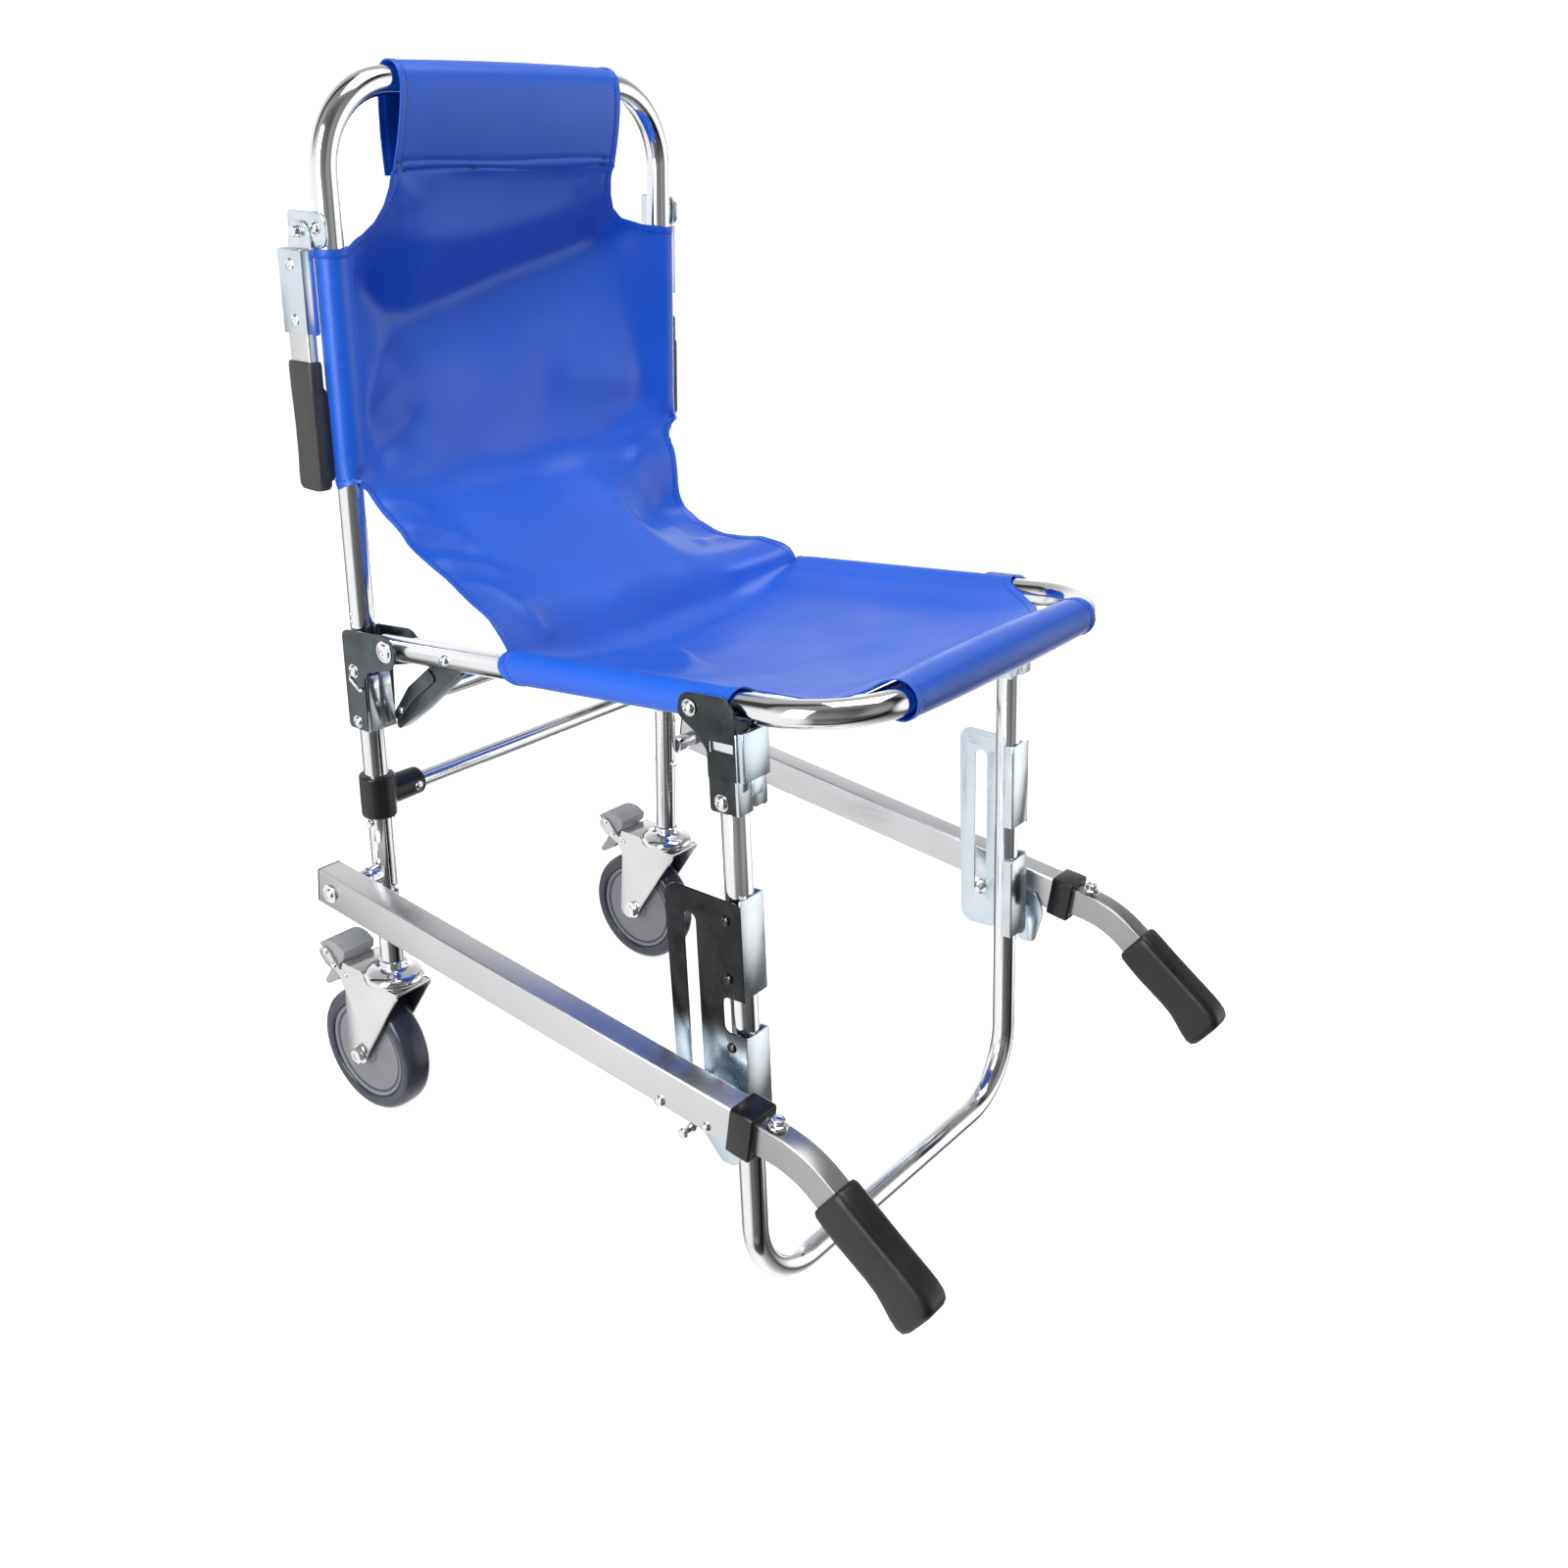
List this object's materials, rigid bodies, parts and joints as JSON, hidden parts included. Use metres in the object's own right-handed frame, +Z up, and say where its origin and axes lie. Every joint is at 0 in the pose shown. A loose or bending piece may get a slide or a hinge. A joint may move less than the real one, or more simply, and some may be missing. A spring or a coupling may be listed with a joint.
{
  "type": "stair chair",
  "caption": "Folding evacuation stair chair with a blue sling, swivel back castors, telescoping front carry handles and fold-up rear handles.",
  "frame": {"origin": "on the floor under the middle of the chair at rest, front handles pushed in", "axes": "+Z up, the sitter faces -Y, +X is the sitter's left"},
  "size_m": [0.52, 0.7274, 0.929],
  "materials": {
    "polished_tube": "bright polished aluminium tube with strong reflections",
    "satin_aluminium": "satin brushed aluminium",
    "zinc_plate": "bluish bright zinc-plated pressed steel",
    "bright_hardware": "bright plated bolts, cup and pins",
    "black_plastic": "matt black moulded plastic",
    "grey_plastic": "mid grey moulded plastic",
    "hub_plastic": "mid grey wheel disc",
    "wheel_tread": "dark blue-grey glossy rubber tread",
    "blue_vinyl": "royal blue coated sling fabric with a soft sheen"
  },
  "bodies": {
    "back_frame": {"back_frame_tube": "polished_tube", "cross_tube": "polished_tube", "cross_clamp_l": "black_plastic", "cross_clamp_r": "black_plastic", "seat_bracket_l": "zinc_plate", "seat_bracket_r": "zinc_plate", "seat_pivot_bolt_l": "bright_hardware", "seat_pivot_bolt_r": "bright_hardware", "rail_pivot_bolt_l": "bright_hardware", "rail_pivot_bolt_r": "bright_hardware", "rear_handle_mount_l": "zinc_plate", "rear_handle_mount_r": "zinc_plate", "castor_stem_l": "bright_hardware", "castor_stem_r": "bright_hardware", "back_sling": "blue_vinyl"},
    "seat": {"seat_tube": "polished_tube", "seat_cross_tube": "polished_tube", "seat_brace_l": "zinc_plate", "seat_brace_r": "zinc_plate", "leg_pivot_bolt_l": "bright_hardware", "leg_pivot_bolt_r": "bright_hardware", "seat_sling": "blue_vinyl"},
    "front_leg": {"front_leg_tube": "polished_tube", "leg_bracket_l": "zinc_plate", "leg_bracket_r": "zinc_plate", "slot_plate_l": "zinc_plate", "slot_plate_r": "zinc_plate"},
    "leg_lock_l": {"leg_lock_l": "zinc_plate"},
    "slot_pin_l": {"slot_pin_l": "bright_hardware"},
    "rail_l": {"side_rail_l": "satin_aluminium", "rail_end_cap_l": "black_plastic", "rail_collar_l": "black_plastic"},
    "rail_latch_l": {"rail_latch_l": "zinc_plate"},
    "carry_handle_l": {"carry_arm_l": "satin_aluminium", "carry_grip_l": "black_plastic"},
    "release_button_l": {"release_button_l": "bright_hardware"},
    "rear_handle_l": {"rear_handle_bracket_l": "zinc_plate", "rear_handle_arm_l": "satin_aluminium", "rear_handle_grip_l": "black_plastic"},
    "castor_l": {"castor_fork_l": "zinc_plate"},
    "wheel_l": {"wheel_hub_l": "hub_plastic", "wheel_tyre_l": "wheel_tread"},
    "brake_pedal_l": {"brake_pedal_l": "grey_plastic"},
    "leg_lock_r": {"leg_lock_r": "zinc_plate"},
    "slot_pin_r": {"slot_pin_r": "bright_hardware"},
    "rail_r": {"side_rail_r": "satin_aluminium", "rail_end_cap_r": "black_plastic", "rail_collar_r": "black_plastic"},
    "rail_latch_r": {"rail_latch_r": "zinc_plate"},
    "carry_handle_r": {"carry_arm_r": "satin_aluminium", "carry_grip_r": "black_plastic"},
    "release_button_r": {"release_button_r": "bright_hardware"},
    "rear_handle_r": {"rear_handle_bracket_r": "zinc_plate", "rear_handle_arm_r": "satin_aluminium", "rear_handle_grip_r": "black_plastic"},
    "castor_r": {"castor_fork_r": "zinc_plate"},
    "wheel_r": {"wheel_hub_r": "hub_plastic", "wheel_tyre_r": "wheel_tread"},
    "brake_pedal_r": {"brake_pedal_r": "grey_plastic"}
  },
  "joints": [
    {"name": "seat_fold", "type": "hinge", "parent": "back_frame", "child": "seat", "pos_m": [0, 0.224, 0.48], "axis": [-1, 0, 0], "range_deg": [0, 84.8]},
    {"name": "leg_fold", "type": "hinge", "parent": "seat", "child": "front_leg", "pos_m": [0, -0.11101, 0.5105], "axis": [1, 0, 0], "range_deg": [0, 88.56]},
    {"name": "leg_lock_pivot_l", "type": "hinge", "parent": "front_leg", "child": "leg_lock_l", "pos_m": [0.195, -0.15313, 0.4631], "axis": [1, 0, 0], "range_deg": [0, 7], "stiffness_Nm_per_rad": 0.2},
    {"name": "slot_slide_l", "type": "slide", "parent": "front_leg", "child": "slot_pin_l", "axis": [0, 0.0639, 0.998], "range_m": [0, 0.1356]},
    {"name": "rail_fold_l", "type": "hinge", "parent": "back_frame", "child": "rail_l", "pos_m": [0.2445, 0.264, 0.262], "axis": [-1, 0, 0], "range_deg": [0, 93.85]},
    {"name": "rail_latch_pivot_l", "type": "hinge", "parent": "rail_l", "child": "rail_latch_l", "pos_m": [0.23, -0.16312, 0.20349], "axis": [1, 0, 0], "range_deg": [0, 15], "stiffness_Nm_per_rad": 0.2},
    {"name": "carry_slide_l", "type": "slide", "parent": "rail_l", "child": "carry_handle_l", "axis": [0, -0.9935, -0.1139], "range_m": [0, 0.31]},
    {"name": "release_press_l", "type": "slide", "parent": "carry_handle_l", "child": "release_button_l", "axis": [0, 0.1139, -0.9935], "range_m": [0, 0.0018], "stiffness_N_per_m": 300},
    {"name": "rear_handle_fold_l", "type": "hinge", "parent": "back_frame", "child": "rear_handle_l", "pos_m": [0.2132, 0.284, 0.809], "axis": [1, 0, 0], "range_deg": [0, 90]},
    {"name": "castor_swivel_l", "type": "hinge", "parent": "back_frame", "child": "castor_l", "pos_m": [0.193, 0.267, 0.149], "axis": [0, 0, 1], "continuous": true},
    {"name": "wheel_spin_l", "type": "hinge", "parent": "castor_l", "child": "wheel_l", "pos_m": [0.193, 0.3015, 0.0625], "axis": [1, 0, 0], "continuous": true},
    {"name": "brake_press_l", "type": "hinge", "parent": "castor_l", "child": "brake_pedal_l", "pos_m": [0.193, 0.329, 0.149], "axis": [-1, 0, 0], "range_deg": [0, 12]},
    {"name": "leg_lock_pivot_r", "type": "hinge", "parent": "front_leg", "child": "leg_lock_r", "pos_m": [-0.195, -0.15313, 0.4631], "axis": [1, 0, 0], "range_deg": [0, 7], "stiffness_Nm_per_rad": 0.2},
    {"name": "slot_slide_r", "type": "slide", "parent": "front_leg", "child": "slot_pin_r", "axis": [0, 0.0639, 0.998], "range_m": [0, 0.1356]},
    {"name": "rail_fold_r", "type": "hinge", "parent": "back_frame", "child": "rail_r", "pos_m": [-0.2445, 0.264, 0.262], "axis": [-1, 0, 0], "range_deg": [0, 93.85]},
    {"name": "rail_latch_pivot_r", "type": "hinge", "parent": "rail_r", "child": "rail_latch_r", "pos_m": [-0.23, -0.16312, 0.20349], "axis": [1, 0, 0], "range_deg": [0, 15], "stiffness_Nm_per_rad": 0.2},
    {"name": "carry_slide_r", "type": "slide", "parent": "rail_r", "child": "carry_handle_r", "axis": [0, -0.9935, -0.1139], "range_m": [0, 0.31]},
    {"name": "release_press_r", "type": "slide", "parent": "carry_handle_r", "child": "release_button_r", "axis": [0, 0.1139, -0.9935], "range_m": [0, 0.0018], "stiffness_N_per_m": 300},
    {"name": "rear_handle_fold_r", "type": "hinge", "parent": "back_frame", "child": "rear_handle_r", "pos_m": [-0.2132, 0.284, 0.809], "axis": [1, 0, 0], "range_deg": [0, 90]},
    {"name": "castor_swivel_r", "type": "hinge", "parent": "back_frame", "child": "castor_r", "pos_m": [-0.193, 0.267, 0.149], "axis": [0, 0, 1], "continuous": true},
    {"name": "wheel_spin_r", "type": "hinge", "parent": "castor_r", "child": "wheel_r", "pos_m": [-0.193, 0.3015, 0.0625], "axis": [1, 0, 0], "continuous": true},
    {"name": "brake_press_r", "type": "hinge", "parent": "castor_r", "child": "brake_pedal_r", "pos_m": [-0.193, 0.329, 0.149], "axis": [-1, 0, 0], "range_deg": [0, 12]}
  ],
  "couplings": [
    {"joint": "leg_fold", "follows": "seat_fold", "ratio": 1.0432},
    {"joint": "rail_fold_l", "follows": "seat_fold", "ratio": 1.1055},
    {"joint": "slot_slide_l", "follows": "seat_fold", "m_per_rad": 0.091484},
    {"joint": "rail_fold_r", "follows": "seat_fold", "ratio": 1.1055},
    {"joint": "slot_slide_r", "follows": "seat_fold", "m_per_rad": 0.091484}
  ]
}
